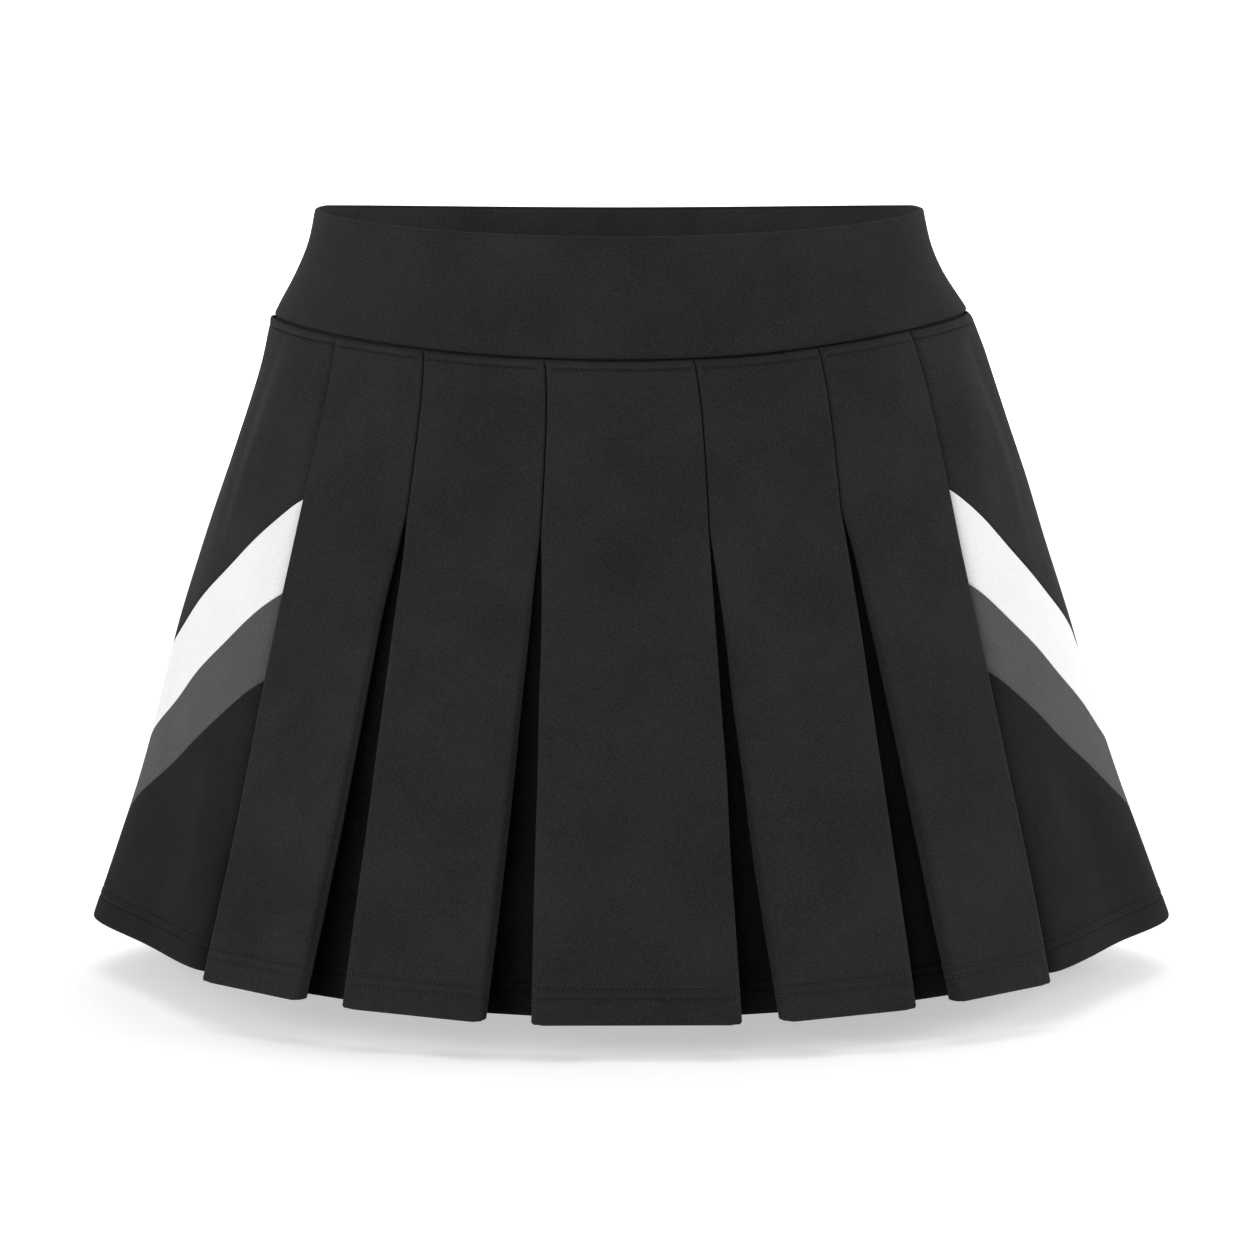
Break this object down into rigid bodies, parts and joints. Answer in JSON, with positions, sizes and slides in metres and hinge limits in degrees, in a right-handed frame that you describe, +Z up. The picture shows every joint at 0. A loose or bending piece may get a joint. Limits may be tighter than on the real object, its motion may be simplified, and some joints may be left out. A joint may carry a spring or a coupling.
{
  "type": "cheerleading skirt",
  "caption": "Flared cheerleading skirt in its hollow worn form: a wide waistband, stitched pleats that open to the hem, and side gores with a white and a grey stripe.",
  "frame": {"origin": "centre of the waist opening, level with the waistband's top edge at the sides", "axes": "+Z up out of the waist opening, -Y towards the front of the skirt, +X to the right of someone looking at the front"},
  "size_m": [0.497, 0.3918, 0.3339],
  "materials": {
    "black_knit": "matt black polyester double knit",
    "white_knit": "matt white polyester double knit",
    "grey_knit": "matt dark grey polyester double knit"
  },
  "bodies": {
    "root": {"waistband_front": "black_knit", "waistband_back": "black_knit", "front_gore_centre": "black_knit", "front_gore_inner_left": "black_knit", "front_gore_inner_right": "black_knit", "front_gore_outer_left": "black_knit", "front_gore_outer_right": "black_knit", "front_insert_inner_left": "black_knit", "front_insert_inner_right": "black_knit", "front_insert_outer_left": "black_knit", "front_insert_outer_right": "black_knit", "front_side_left_upper": "black_knit", "front_side_left_white_stripe": "white_knit", "front_side_left_grey_stripe": "grey_knit", "front_side_left_lower": "black_knit", "front_side_right_upper": "black_knit", "front_side_right_white_stripe": "white_knit", "front_side_right_grey_stripe": "grey_knit", "front_side_right_lower": "black_knit", "back_gore_centre": "black_knit", "back_gore_inner_left": "black_knit", "back_gore_inner_right": "black_knit", "back_gore_outer_left": "black_knit", "back_gore_outer_right": "black_knit", "back_insert_inner_left": "black_knit", "back_insert_inner_right": "black_knit", "back_insert_outer_left": "black_knit", "back_insert_outer_right": "black_knit", "back_side_left_upper": "black_knit", "back_side_left_white_stripe": "white_knit", "back_side_left_grey_stripe": "grey_knit", "back_side_left_lower": "black_knit", "back_side_right_upper": "black_knit", "back_side_right_white_stripe": "white_knit", "back_side_right_grey_stripe": "grey_knit", "back_side_right_lower": "black_knit"}
  },
  "joints": []
}
